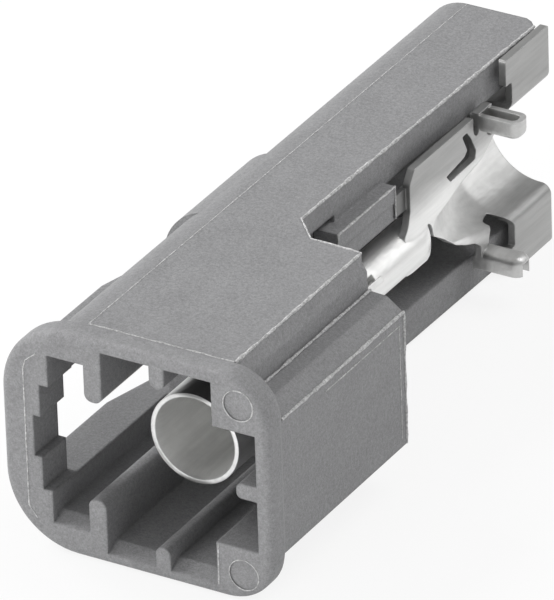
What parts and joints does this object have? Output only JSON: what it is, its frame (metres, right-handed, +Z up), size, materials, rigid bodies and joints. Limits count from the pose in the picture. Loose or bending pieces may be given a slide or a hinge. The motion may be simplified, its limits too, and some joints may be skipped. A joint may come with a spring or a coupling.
{
  "type": "right-angle pcb plug",
  "caption": "Right-angle board plug: a grey moulded housing with a flanged mouth holds a bright stamped socket contact whose folded legs and tabs meet the board.",
  "frame": {"origin": "centre of the socket tube's front end", "axes": "+X right, towards the board; +Y back along the plug, away from the mating part; +Z up"},
  "size_m": [0.0147, 0.0378, 0.012],
  "materials": {
    "housing": "matt grey moulding",
    "contact": "bright tin plating"
  },
  "bodies": {
    "root": {"housing": "housing", "contact": "contact"}
  },
  "joints": []
}
